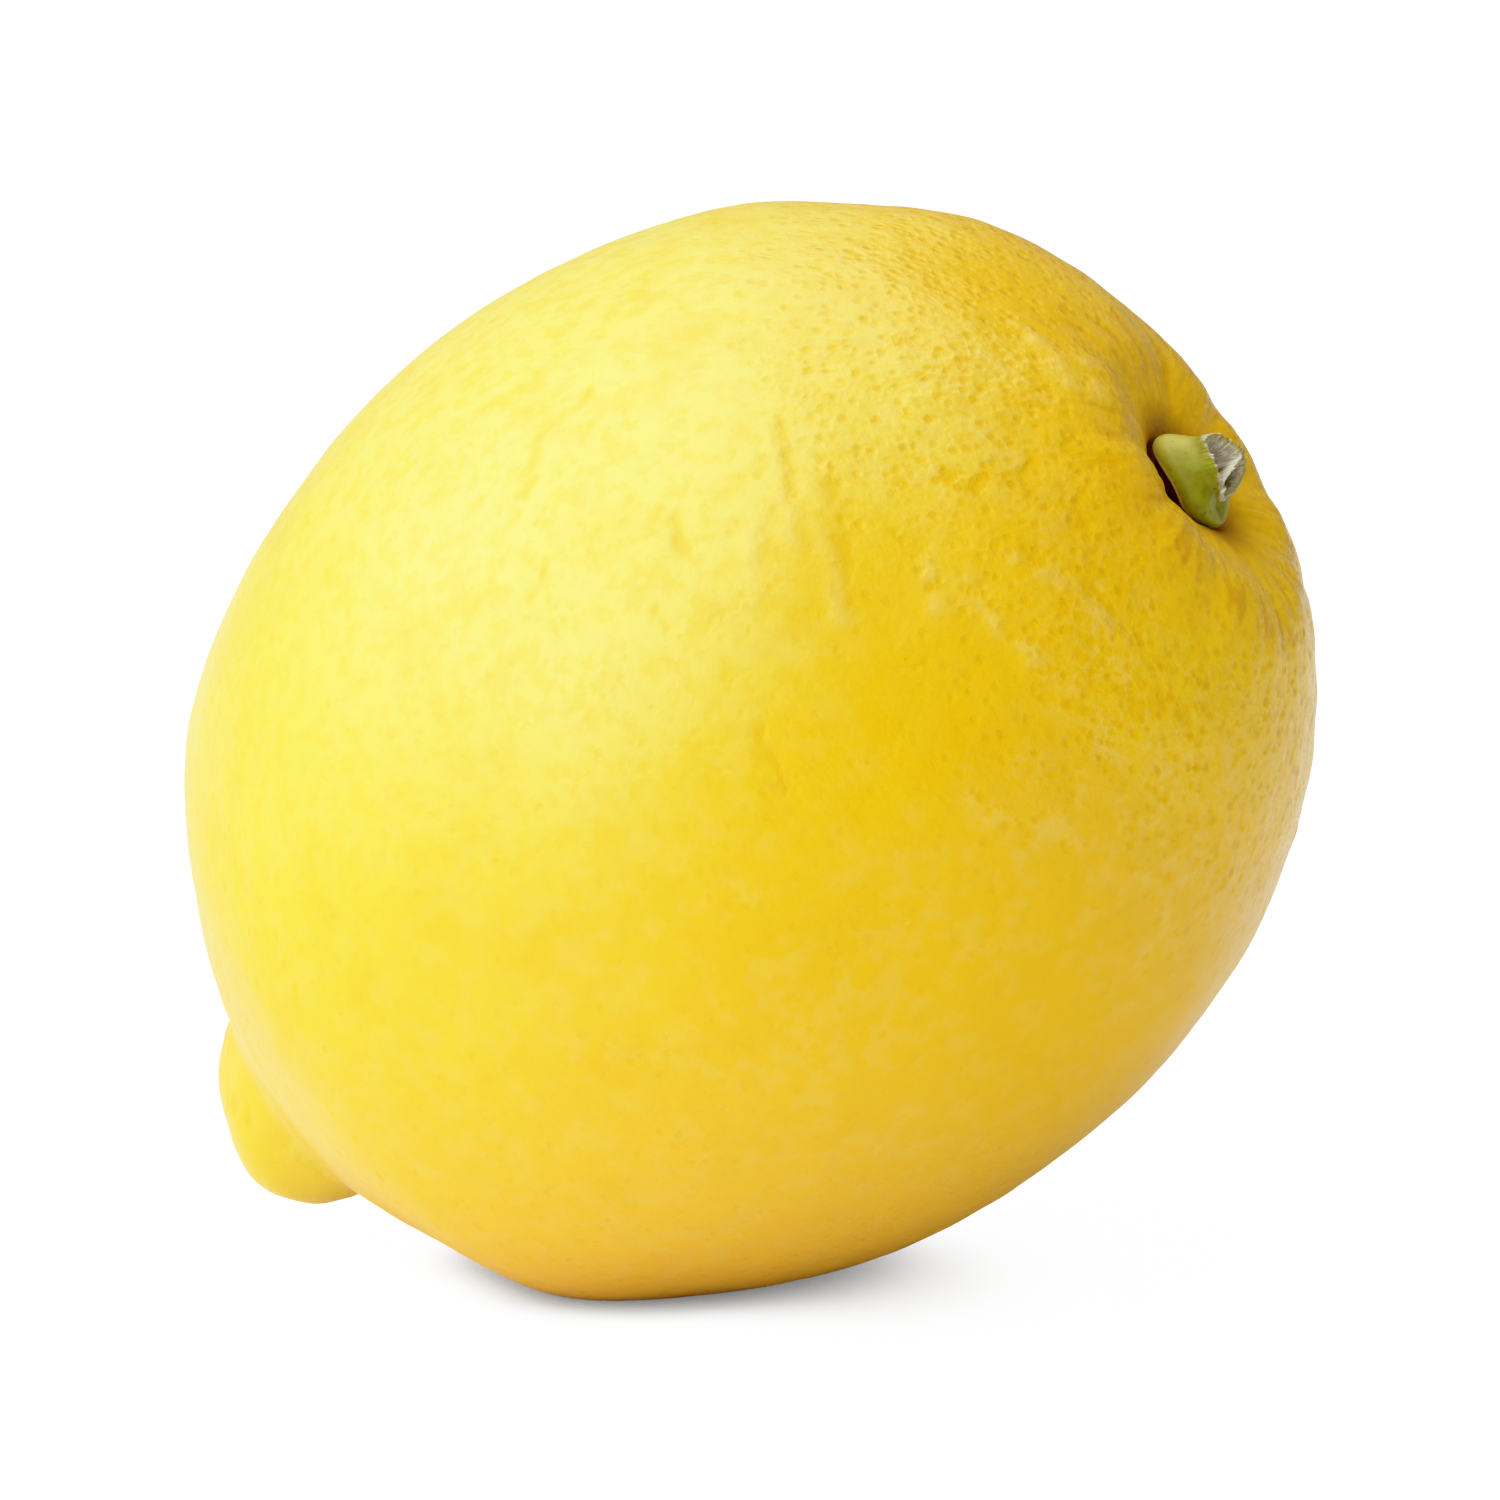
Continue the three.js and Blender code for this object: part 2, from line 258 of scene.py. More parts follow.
# Stations run along the fruit's axis, from the nipple to the button. Angles go round it in degrees,
# 0 to the front and 90 up. A pair of numbers is where something sets in and where it is whole.
lemonRind = {
    "outline": [            # station, radius
        (-39.4, 0), (-39.7, 1.5), (-39.3, 3.4), (-38.0, 5.1), (-36.1, 6.2),         # nipple
        (-34.4, 7.2), (-33.0, 10.0), (-30.2, 15.2), (-24.6, 22.0),      # furrow and lower shoulder
        (-15.5, 27.2), (-4.5, 29.8), (7.0, 29.9), (18.0, 26.9),         # body
        (26.5, 20.7), (31.6, 14.0), (33.65, 9.4), (33.3, 6.6),          # upper shoulder
        (32.5, 4.7), (31.7, 3.9), (31.2, 2.9), (31.2, 0),               # seat of the button
    ],
    "rows": 240, "columns": 408, "outlineSteps": 4000,      # faces along and round the fruit
    "roughRows": 160, "roughColumns": 144, "placingSteps": 2000,
    "swells": [             # station, angle, reach, rise
        (28, 106, 4.5, 1.3), (31, 126, 4, 0.7), (33, 150, 4, 0.3), (20, 98, 6, 0.7),
        (-3, 88, 8, 0.3), (-15, 90, 7, -0.2), (-25, 85, 5, 0.5),
        (15, 22, 5, 0.5), (19, 2, 5, -0.5),
        (-13, 253, 6, 0.9), (-15.5, 281, 6, -0.35), (-8, 275, 7, 0.3), (11, 266, 7, -0.2),
        (20, 265, 7, -0.65), (28, 242, 7, -0.45), (-30, 310, 4, -0.3),
        (9, 172, 9, 0.5), (21, 196, 6, -0.5), (-12, 150, 8, -0.4), (-22, 205, 6, 0.4),
    ],
    "nippleSwells": [       # station, angle, reach, rise
        (-36.0, 80, 3.0, 0.45), (-35.0, 288, 3.4, 0.25), (-39.2, 338, 2.0, 0.5),
        (-38.6, 284, 2.2, -0.1), (-36.5, 190, 3.0, 0.3),
    ],
    # shallow folds round the stalk end, between two radii
    "folds": 9, "foldDepth": 0.3, "foldStart": 4.0, "foldEnd": 19.0, "foldUnevenness": 1.4,
    "seatSqueeze": 0.245, "seatReach": (4.0, 9.0),      # an oval seat, narrow under the big lobes
    "seatLip": (312, 42, 0.16),     # angle, width and inward share where the rind meets a lobe

    "lumps": 0.13, "lumpSize": 7.0, "lumpRadius": (2.0, 6.0),
    "dimples": 0.04, "dimpleSize": 2.0, "crowding": 1.1,    # dimples deepen where glands crowd
    # oil glands crowd toward the stalk, up to a wandering edge
    "crowdAlong": 0.9, "crowdUp": -0.04, "crowdWander": 4.0, "crowdRange": (15.5, 26.5),
    "wanderSize": 9.0,
    # lines that run out from the button: height, run, number, and the radii where they show
    "wrinkles": 0.13, "wrinkleRun": 0.16, "wrinkleTurns": 6.0,
    "wrinkleFrom": (4.6, 7.0), "wrinkleTo": (9.0, 17.0),
    "streaks": 0.045, "streakRun": 0.45, "streakTurns": 15.0, "streakSeed": 5,
    "streakFrom": (4.4, 5.6), "streakTo": (8.0, 14.0),
    # creases round the nipple
    "creases": 0.10, "creaseRun": 0.2, "creaseTurns": 2.6, "creaseSeed": 7,
    "creaseRadius": (1.0, 5.0), "creaseStation": (-36.5, -30.0),
    "ripePatches": [        # station, angle, reach and strength of patches of deeper yellow
        (21.5, -5, 6.5, 0.75), (22, 12, 5.5, 0.7), (13, -7, 6.0, 0.35), (30.8, 78, 6.0, 0.95),
        (32.0, 30, 3.0, 0.45), (26.5, 6, 4.0, 0.6), (12, -60, 7.0, 0.35), (24, 215, 6.0, 0.5),
        (-10, 160, 8.0, 0.3),
    ],
    "patchWander": 2.5, "patchEdge": (0.2, 1.7),        # the edge's ends as shares of the reach
    "beads": 1.0, "beadCut": (-0.30, 0.25),             # a stroke breaks up into beads
    "strokeReach": 5,                                   # widths beyond which a stroke has faded
    "strokes": [            # from station and angle, to station and angle, half width, rise
        (24.9, 15, 23.4, 4, 0.34, 0.11), (25.4, 5, 25.2, -5, 0.32, 0.08),
        (25.4, -5, 25.8, -10, 0.3, 0.1), (25.8, -10, 24.7, -15, 0.32, 0.09),
        (21.3, 30, 19.2, 8, 0.42, 0.14), (20.2, 33, 18.9, 20, 0.4, 0.13),
        (28.6, 0, 29.4, -18, 0.3, 0.12), (27.6, 5, 28.6, -3, 0.26, 0.1),
        (17.5, 24, 15.9, 14, 0.4, 0.1), (22.2, 29, 20.2, 8, 0.32, -0.09),
        (21.0, 36, 19.9, 24, 0.3, -0.08), (28.2, 5, 28.9, -3, 0.2, -0.11),
        (29.2, -5, 29.8, -17, 0.2, -0.11), (27.0, 22, 28.2, 18, 0.45, -0.1),
        (30.2, 10, 30.9, 4, 0.4, -0.1), (31.7, 22, 33.0, 16, 0.45, -0.1),
        (29.3, 15, 30.1, 22, 0.4, -0.08), (12.6, 2, 11.8, -6, 0.3, -0.07),
        (14.1, 29, 13.7, 24, 0.35, -0.08), (8.9, 47, 6.2, 40, 0.32, -0.05),
        (31.6, 66, 32.6, 44, 0.5, 0.12), (30.0, 50, 31.6, 36, 0.4, 0.08),
        (33.2, 58, 33.3, 30, 0.4, 0.1), (28.2, -26, 28.8, -38, 0.45, -0.07),
        (22.0, 130, 20.0, 150, 0.4, 0.1), (16.0, 205, 12.0, 214, 0.4, -0.08),
        (26.0, 240, 24.0, 262, 0.4, 0.1), (-8.0, 110, -12.0, 124, 0.35, -0.07),
        (-22.0, 186, -25.0, 176, 0.4, 0.08), (13.6, 29, 14.2, 22, 0.26, -0.07),
        (10.9, 19, 11.2, 17, 0.28, -0.07), (7.2, 41, 8.2, 43, 0.24, -0.06),
        (4.9, 28, 6.1, 30, 0.24, -0.06), (10.5, 48, 11.8, 50, 0.28, -0.07),
        (29.0, -8, 29.6, -16, 0.24, -0.1), (-36.9, 12, -37.6, 32, 0.55, -0.14),
        (-36.2, 60, -35.8, 78, 0.6, -0.12), (-35.3, -20, -35.1, -48, 0.6, 0.08),
        (-37.0, 150, -36.4, 190, 0.6, -0.12), (-36.6, 240, -36.9, 270, 0.6, -0.12),
    ],

    # the pale lemon colour is partly the rind's own and partly painted sheen on the upper side
    "lemon": paint(244, 225, 108), "lime": paint(247, 207, 12), "golden": paint(252, 197, 47),
    # straw on the flush, the raised strokes and the streaks is partly painted sheen and highlight
    "ripe": paint(242, 190, 0), "paintedLight": paint(255, 212, 20), "straw": paint(242, 208, 108),
    "deep": paint(236, 182, 0), "amber": paint(206, 142, 0), "ochreAndShade": paint(232, 182, 0),
    "umberAndShade": paint(168, 110, 2), "seatBrown": paint(168, 76, 20), "nipple": paint(234, 202, 70),
    # the pale furrow colour is a painted highlight along the furrow round the nipple
    "furrow": paint(238, 202, 122), "scar": paint(120, 84, 36),

    # how much of a colour shows: "Range" is where it sets in and is whole, "Most" the most of it
    "stalkSide": (10.0, 26.0), "nippleSide": (-28.0, -33.0),    # stations
    # pale lemon yellow, partly painted sheen, grows by these shares for each millimetre up, forward
    # and toward the nipple
    "lemonUp": 0.030, "lemonFront": 0.014, "lemonBack": 0.004,
    "lemonWander": 0.8, "lemonLess": 0.4, "lemonRange": (0.0, 0.95),
    "limeUp": 0.5, "limeWander": 16.0, "limeRange": (20.0, -12.0), "limeMost": 0.85,
    "warmRange": (-12.0, 12.0),     # stations from golden to ripe
    # clouds: features in a millimetre, detail, roughness, distortion
    "driftCloud": (0.05, 3.0), "softCloud": (0.17, 4.0, 0.55), "mottleCloud": (0.80, 3.0, 0.6),
    "paleCloud": (0.60, 3.0, 0.55), "mergedCloud": (1.25, 2.0, 0.5, 0.8), "grainCloud": (3.2, 2.0),
    "cloudRange": (0.50, 0.30), "cloudMost": 0.28, "mottleRange": (0.58, 0.36), "mottleMost": 0.38,
    "crowdMost": 0.26, "paleRange": (0.44, 0.66),

    "glandSize": 0.68,      # millimetres from one oil gland to the next
    "glandDepth": 0.06, "glandWidth": (0.78, 0.12), "glandUneven": 0.2,
    "glandShare": (0.55, 1.15), "glandCrowd": 0.6, "mergedRange": (0.50, 0.60), "mergedMost": 0.8,
    # a straw flush between the glands, partly painted sheen, paler straw on the underside, and
    # painted light: a lighter yellow below the button
    "flushAndSheenPale": 0.20, "flushAndSheenPaleCrowd": 0.30, "flushAndSheenCrowd": 0.28,
    "flushAndSheenStation": (38.0, 20.0), "flushAndSheenRadius": (6.0, 13.0),
    "underUp": (-8.0, -27.0), "underStation": (18.0, 2.0), "underMost": 0.14,
    # painted light: a lighter yellow on the lower side below the button, where less light falls
    "paintedLightUp": (1.0, -8.0), "paintedLightStation": (22.0, 30.0), "paintedLightMost": 0.6,
    # deeper yellow in what is sunk, partly the glands' own colour and partly painted shade; straw
    # on what is raised, a painted highlight
    "hollowTint": 0.22, "hollowCrowd": 0.34, "mergedTint": 0.25, "sunkTint": 0.35,
    "hollowMost": 0.8, "amberRange": (0.3, 1.0), "amberMost": 0.3, "raisedMost": 0.5,
    # streak colours: amber in the sunk part and straw on the raised part, partly painted shade and
    # painted glints
    "darkStreak": (-0.02, -0.30), "darkStreakMost": 0.5,
    "paleStreak": (0.06, 0.35), "paleStreakMost": 0.15,

    # rings round the two ends: radius, or how far up
    # ochre and umber round the button are partly the rind's own colour and partly painted shade in
    # the hollow round it
    "ochreAndShadeRing": (13.0, 5.0), "ochreAndShadeMost": 0.75, "umberAndShadeRing": (6.0, 3.6), "umberAndShadeMost": 0.7,
    "seatRing": (3.5, 3.0),
    "nippleRing": (8.6, 6.8), "nippleUp": (3.0, -5.0), "nippleLeast": 0.25, "nippleMore": 0.6,
    "furrowFrom": (6.6, 8.0), "furrowTo": (11.5, 8.6), "furrowCloud": (0.36, 0.56),
    "furrowMost": 0.7,
    "scarRing": (1.6, 0.5), "scarMost": 0.8,

    "mottleRelief": 0.06, "mottleCrowd": 0.05, "grainRelief": 0.012,    # millimetres
    # roughness: less where glands crowd, more in hollows and round the button
    "rough": 0.33, "roughCrowd": 0.06, "roughHollow": 0.08,
    "roughRing": (7.0, 4.6), "roughMost": 0.5,
    "wax": {"IOR": 1.40, "Specular IOR Level": 0.40, "Coat Weight": 0.03, "Coat Roughness": 0.14},
}


def onRind(curve, station, angle):  # the point of the plain turned shape at a station and an angle
    away = radiusAt(curve, station)
    return np.array([station, -away * cos(radians(angle)), away * sin(radians(angle))])


def swells(points, curve, places):  # soft rises and hollows, each round its own place
    lift = np.zeros(points.shape[:2])
    for station, angle, reach, rise in places:
        off = points - onRind(curve, station, angle)
        lift += rise * np.exp(-(off**2).sum(-1) / (2 * reach**2))
    return lift


def rindShape(rows, columns):  # the turned body, its outward directions, and each point's lift
    r = lemonRind
    curve = evenly(spline(r["outline"], r["outlineSteps"]), rows)
    points, out = turn(curve, columns)
    radius = np.hypot(points[..., 1], points[..., 2])
    around = np.degrees(np.arctan2(points[..., 2], -points[..., 1]))
    *lipAt, lip = r["seatLip"]
    squeeze = r["seatSqueeze"] * np.sin(np.radians(around)) ** 2 + lip * bell(around, *lipAt)
    near = (1 - soft(radius, *r["seatReach"])) * (points[..., 0] > 0)
    points[..., 1:] *= (1 - squeeze * near)[..., None]
    lift = swells(points, curve, r["swells"])
    radius = np.hypot(points[..., 1], points[..., 2])
    angle = np.arctan2(points[..., 2], -points[..., 1])
    share = np.clip((radius - r["foldStart"]) / (r["foldEnd"] - r["foldStart"]), 0, 1)
    along = np.where(points[..., 0] > 0, np.sin(pi * np.sqrt(share)), 0)
    wave = (1 + np.cos(r["folds"] * angle + r["foldUnevenness"] * np.sin(2 * angle))) / 2
    lift -= r["foldDepth"] * along**2 * wave**2
    return points, out, lift


def findOffset():  # the frame has its origin under the middle of the object's box
    points, out, lift = rindShape(lemonRind["roughRows"], lemonRind["roughColumns"])
    rough = lay(followCentreline(points + out * lift[..., None])).reshape(-1, 3)
    low, high = (np.array(corner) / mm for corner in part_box("fruit"))
    return np.array([*((low + high - rough.min(0) - rough.max(0)) / 2)[:2], 0.0])


offset = findOffset()
print("fruit set over its flat spot, moved by", offset.round(3))


def strokeMask(points, stroke, curve):  # 1 along a short stroke over the rind, broken into beads
    start, startAngle, end, endAngle, width = stroke
    first = onRind(curve, start, startAngle)
    way = onRind(curve, end, endAngle) - first
    share = np.clip(((points - first) @ way) / (way @ way), 0, 1)
    off = points - first - share[..., None] * way
    near = (off**2).sum(-1) < (lemonRind["strokeReach"] * width) ** 2
    broken = np.zeros(points.shape[:2])
    broken[near] = fields(points[near] + start, [lemonRind["beads"]])[0]
    return np.exp(-(off**2).sum(-1) / (2 * width**2)) * soft(broken, *lemonRind["beadCut"])


def ripeMask(points, curve, drift):
    r = lemonRind
    ripe = np.zeros(points.shape[:2])
    whole, none = r["patchEdge"]
    for station, angle, reach, strength in r["ripePatches"]:
        off = np.linalg.norm(points - onRind(curve, station, angle), axis=-1)
        off = off + r["patchWander"] * drift
        ripe = np.maximum(ripe, strength * (1 - soft(off, reach * whole, reach * none)))
    return ripe


def makeRind():
    r = lemonRind
    points, out, lift = rindShape(r["rows"], r["columns"])
    station, up = points[..., 0], points[..., 2]
    radius = np.hypot(points[..., 1], up)
    around = points[..., 1:] / np.maximum(radius, tiny)[..., None]
    lumps, dimples = fields(points, [r["lumpSize"], r["dimpleSize"]])
    wrinkle = rays(radius * r["wrinkleRun"], around * r["wrinkleTurns"])
    streak = rays(radius * r["streakRun"] + r["streakSeed"], around * r["streakTurns"])
    crease = rays(station * r["creaseRun"] + r["creaseSeed"], around * r["creaseTurns"])
    streak = streak * (between(radius, r["streakFrom"], r["streakTo"]) * (station > 0))
    nearStalk = between(radius, r["wrinkleFrom"], r["wrinkleTo"]) * (station > 0)
    nearNipple = soft(radius, *r["creaseRadius"]) * (1 - soft(station, *r["creaseStation"]))

    # the glands crowd on the stalk's shoulder and thin out down the sides
    drift, = fields(points, [r["wanderSize"]])
    crowdAt = station * r["crowdAlong"] + up * r["crowdUp"] + r["crowdWander"] * drift
    crowded = soft(crowdAt, *r["crowdRange"])
    dimples = r["dimples"] * (1 + r["crowding"] * crowded) * dimples
    lift = lift + (r["lumps"] * lumps + dimples) * soft(radius, *r["lumpRadius"])
    lift += r["wrinkles"] * wrinkle * nearStalk + r["creases"] * crease * nearNipple
    lift += r["streaks"] * streak
    curve = spline(r["outline"], r["placingSteps"])
    lift += swells(points, curve, r["nippleSwells"])
    raised, sunk = np.zeros(lift.shape), np.zeros(lift.shape)
    for *stroke, rise in r["strokes"]:
        mask = strokeMask(points, stroke, curve)
        lift += rise * mask
        if rise > 0:
            raised = np.maximum(raised, mask)
        else:
            sunk = np.maximum(sunk, mask)
    shaped = lay(followCentreline(points + out * lift[..., None]))
    shaped[..., 2] = np.maximum(shaped[..., 2], 0.0)        # cut flat where it rests

    rind = meshOf("rind", shaped + offset, {
        "place": points, "crowded": crowded, "raised": raised, "sunk": sunk,
        "ripe": ripeMask(points, curve, drift), "streaks": streak,
    })
    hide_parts("fruit")
    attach(rind, "root")
    return rind


def rindMaterial():
    f = Finish("waxy_lemon_rind")
    r = lemonRind
    place = f.place()
    crowded, raised, sunk, ripe, streaks = (
        f.mask(name) for name in ("crowded", "raised", "sunk", "ripe", "streaks"))
    along, side, up = f.parts(place)
    wide = f.node("ShaderNodeCombineXYZ", {}, [0.0, side, up])
    radius = f.node("ShaderNodeVectorMath", {"operation": "LENGTH"}, [wide], 1)
    stalkSide = along.step(*r["stalkSide"])
    nippleSide = along.step(*r["nippleSide"])

    # pale lemon yellow on the upper side, partly the rind's own and partly painted sheen, golden
    # below and toward the stalk, with clouds and mottle
    drift = f.cloud(place, *r["driftCloud"])
    toLemon = up * r["lemonUp"] - side * r["lemonFront"] - along * r["lemonBack"]
    toLemon = toLemon + drift * r["lemonWander"] - r["lemonLess"]
    toLime = (along + up * r["limeUp"] + drift * r["limeWander"]).step(*r["limeRange"])
    fresh = f.tint(toLime * r["limeMost"], r["lemon"], r["lime"])
    warm = f.tint(along.step(*r["warmRange"]), r["golden"], r["ripe"])
    colour = f.tint(toLemon.step(*r["lemonRange"]), warm, fresh)
    clouds = f.cloud(place, *r["softCloud"])
    colour = f.tint(clouds.step(*r["cloudRange"]) * r["cloudMost"], colour, r["deep"])
    mottle = f.cloud(place, *r["mottleCloud"])
    colour = f.tint(mottle.step(*r["mottleRange"]) * r["mottleMost"], colour, warm)
    colour = f.tint(crowded * r["crowdMost"], colour, r["deep"])

    # oil glands: soft pits, each of its own width and depth, run together where they crowd
    away, ownValues = f.cells(place, 1 / r["glandSize"])
    own, ownWidth, ownTint = f.parts(ownValues)
    depth = (own + crowded * r["glandCrowd"]).step(*r["glandShare"])
    pits = (away + ownWidth * r["glandUneven"]).step(*r["glandWidth"]) * depth
    merged = f.cloud(place, *r["mergedCloud"]).step(*r["mergedRange"]) * crowded
    hollow = (pits + sunk).least(1.0)

    # a paler straw flush between the pits, partly painted sheen, none where the rind is ripe
    pale = f.cloud(place, *r["paleCloud"]).step(*r["paleRange"])
    flushAndSheen = pale * (r["flushAndSheenPale"] + crowded * r["flushAndSheenPaleCrowd"]) + crowded * r["flushAndSheenCrowd"]
    flushAndSheen = flushAndSheen * (1.0 - (hollow + merged * r["mergedMost"]).least(1.0))
    flushAndSheen = flushAndSheen * along.step(*r["flushAndSheenStation"])
    under = up.step(*r["underUp"]) * along.step(*r["underStation"])
    flushAndSheen = (flushAndSheen + under * r["underMost"]) * radius.step(*r["flushAndSheenRadius"]) * (1.0 - ripe)
    # painted light: lighter yellow on the shaded lower side below the button
    paintedLight = up.step(*r["paintedLightUp"]) * along.step(*r["paintedLightStation"])
    # deeper yellow in sunk pits and strokes: partly the glands' own colour, partly painted shade
    sinks = hollow * (r["hollowTint"] + crowded * r["hollowCrowd"])
    sinks = sinks + merged * r["mergedTint"] + sunk * r["sunkTint"]
    amber = pits * pits * ownTint.step(*r["amberRange"]) * crowded
    colour = f.tint(ripe, colour, r["ripe"])
    colour = f.tint(paintedLight * r["paintedLightMost"], colour, r["paintedLight"])
    colour = f.tint(flushAndSheen, colour, r["straw"])
    colour = f.tint(sinks.least(r["hollowMost"]), colour, r["deep"])
    colour = f.tint(amber * r["amberMost"], colour, r["amber"])
    # painted highlight: straw on the raised strokes
    colour = f.tint(raised * r["raisedMost"], colour, r["straw"])
    # partly painted shade in the sunk part of each streak, partly painted glint on its raised part
    colour = f.tint(streaks.step(*r["darkStreak"]) * r["darkStreakMost"], colour, r["amber"])
    colour = f.tint(streaks.step(*r["paleStreak"]) * r["paleStreakMost"], colour, r["straw"])

    # ochre and umber round the button, partly the rind's own colour and partly painted shade of the
    # hollow round it, brown in its seat; a duller nipple with a pale furrow, which is a painted
    # highlight, and a scar
    colour = f.tint(radius.step(*r["ochreAndShadeRing"]) * stalkSide * r["ochreAndShadeMost"], colour, r["ochreAndShade"])
    colour = f.tint(radius.step(*r["umberAndShadeRing"]) * stalkSide * r["umberAndShadeMost"], colour, r["umberAndShade"])
    colour = f.tint(radius.step(*r["seatRing"]) * stalkSide, colour, r["seatBrown"])
    dull = r["nippleLeast"] + up.step(*r["nippleUp"]) * r["nippleMore"]
    colour = f.tint(radius.step(*r["nippleRing"]) * nippleSide * dull, colour, r["nipple"])
    # painted highlight: a pale band along the furrow round the nipple
    furrow = radius.step(*r["furrowFrom"]) * radius.step(*r["furrowTo"]) * nippleSide
    furrow = furrow * clouds.step(*r["furrowCloud"])
    colour = f.tint(furrow * r["furrowMost"], colour, r["furrow"])
    colour = f.tint(radius.step(*r["scarRing"]) * nippleSide * r["scarMost"], colour, r["scar"])

    grain = f.cloud(place, *r["grainCloud"])
    relief = mottle * (crowded * r["mottleCrowd"] + r["mottleRelief"])
    relief = relief + grain * r["grainRelief"] - hollow * r["glandDepth"]
    nearSeat = radius.step(*r["roughRing"]) * stalkSide
    roughness = r["rough"] - crowded * r["roughCrowd"] + hollow * r["roughHollow"]
    roughness = roughness + nearSeat * r["roughMost"]
    return f.close(r["wax"], {"Base Color": colour, "Roughness": roughness}, relief)


# the calyx button: green lobes round a torn, hollow stub
calyxButton = {
    "outline": [            # height over the seat, radius
        (0.3, 0), (0.3, 1.4), (0.55, 2.0), (0.85, 2.5), (0.95, 2.85),       # foot and underside
        (1.25, 3.1), (1.65, 3.15), (2.05, 3.0), (2.45, 2.65), (2.8, 2.25),  # thick lobes
        (3.15, 2.0), (3.5, 1.95),                                           # stub
        (3.75, 1.78), (3.55, 1.5), (2.9, 1.15), (2.5, 0.6), (2.4, 0),       # torn rim and hollow
    ],
    "rows": 260, "columns": 370, "outlineSteps": 3000,
    "seat": 31.2,           # station
    "stubRadius": 2.0,
    "lobes": [              # angle, width, reach
        (80, 40, 1.02), (168, 26, 0.85), (226, 22, 0.7), (298, 52, 1.12), (334, 18, 0.62),
    ],
    # between two lobes: how far the edge still reaches, and how far it lifts
    "lobeGap": 0.38, "gapRise": 0.45, "gapHeight": (1.2, 2.6), "gapRadius": (1.9, 2.7),

    "rim": [                # angle, and how far the torn rim stands over its usual height
        (0, 0.15), (45, 0.2), (90, 0.15), (135, 0.65), (180, 1.05), (215, 0.5), (240, -0.15),
        (270, -0.9), (292, -1.1), (325, -0.35),
    ],
    "rimUsual": 3.6, "cutStart": 1.6, "tornHeight": (3.0, 3.6), "tornRadius": (0.4, 1.4),
    "ragged": 0.18, "raggedRun": 0.9, "raggedTurns": 5.5, "raggedSeed": 9,
    "fibres": 0.07, "fibreTurns": 15, "fibreWander": 2.0, "fibreLeast": 0.5, "fibreMore": 1.5,
    "veins": 0.06, "veinRun": 0.7, "veinTurns": 2.4, "veinSeed": 20,
    "insideRows": (-3, 12),     # rows past the rim
    # a dry fold across the hollow: from angle to angle, how far out, how wide and how high
    "ridgeFrom": 325, "ridgeTo": 186, "ridgeRadius": 1.7, "ridgeWidth": 0.16, "ridgeWander": 0.12,
    "ridgeLow": -0.1, "ridgeClimb": 1.1, "ridgeUneven": 0.2, "ridgeMost": 2.4,

    # where each finish shows: heights over the seat, angles, or rows past the rim
    "edgeHeight": 1.02, "edgeWidth": 0.09, "edgeWander": 0.06, "edgeRadius": 2.3,
    "underHeight": (0.88, 1.0), "dryHeight": 3.42, "dryBand": 0.22, "dryWander": 0.35,
    "dryDown": (0.55, 140, 52), "dryUp": (0.22, 20, 50),    # how far, round which angle, width
    "dryRows": (8, 26), "dryMoreRows": (45, 145, 55), "dryFade": 1.6,
    "hollowRows": (4, 30), "paleSide": (84, 44), "paleHeight": (2.6, 3.3),

    # pale is partly the upper lobe's own lighter green and partly painted highlight where the key
    # light falls
    "green": paint(152, 154, 22), "pale": paint(204, 194, 88), "olive": paint(124, 112, 14),
    # the white fibre colour is partly the dry fibres' own and partly painted glints on their crests
    "speck": paint(88, 92, 4), "dry": paint(212, 200, 172), "fibreAndGlint": paint(242, 236, 220),
    # brown is partly the dried tissue's own colour and partly painted shade under the lobes
    "ash": paint(172, 162, 138), "tan": paint(216, 180, 122), "brown": paint(96, 34, 12),
    # hollow is a darker olive inside the stub, partly its own colour and partly painted shade
    "hollow": paint(118, 108, 34),
    # clouds: features in a millimetre, detail, roughness
    "mottleCloud": (1.1, 3.0), "fineCloud": (6.0, 3.0, 0.7), "oliveRange": (0.35, 0.65),
    "oliveMost": 0.6, "paleMost": 0.9,
    "speckCloud": 0.7, "specksInMm": 1.7, "speckWidth": (0.26, 0.02), "speckShare": (0.42, 0.60),
    "speckMost": 0.7, "ashRange": (0.42, 0.62), "fibreRange": (0.10, 0.45), "fibreLess": 0.7,
    "cavityRange": (0.50, 0.66), "cavityMost": 0.7,
    "ridgeRange": (0.35, 0.8), "ridgeFibre": (0.40, 0.60),
    "mottleRelief": 0.05, "fineRelief": 0.012, "dryRelief": 0.06, "edgeRelief": 0.05,
    "speckRelief": 0.03,
    "rough": 0.42, "roughDry": 0.35, "roughUnder": 0.2,
    "flesh": {
        "IOR": 1.45, "Specular IOR Level": 0.4,
        "Subsurface Weight": 0.08, "Subsurface Scale": 0.001,
    },
}


def spreadLobes(height, radius, around):  # how far out a point moves, as a share, and how far up
    b = calyxButton
    gap = b["lobeGap"]
    reach = gap + sum((far - gap) * bell(around, angle, width) for angle, width, far in b["lobes"])
    stub = b["stubRadius"]
    beyond = np.maximum(radius - stub, 0)
    outward = np.where(beyond > 0, (stub + beyond * reach) / np.maximum(radius, tiny), 1)
    low = (1 - soft(height, *b["gapHeight"])) * soft(radius, *b["gapRadius"])
    return outward, b["gapRise"] * np.clip(1 - reach, 0, 1) * low


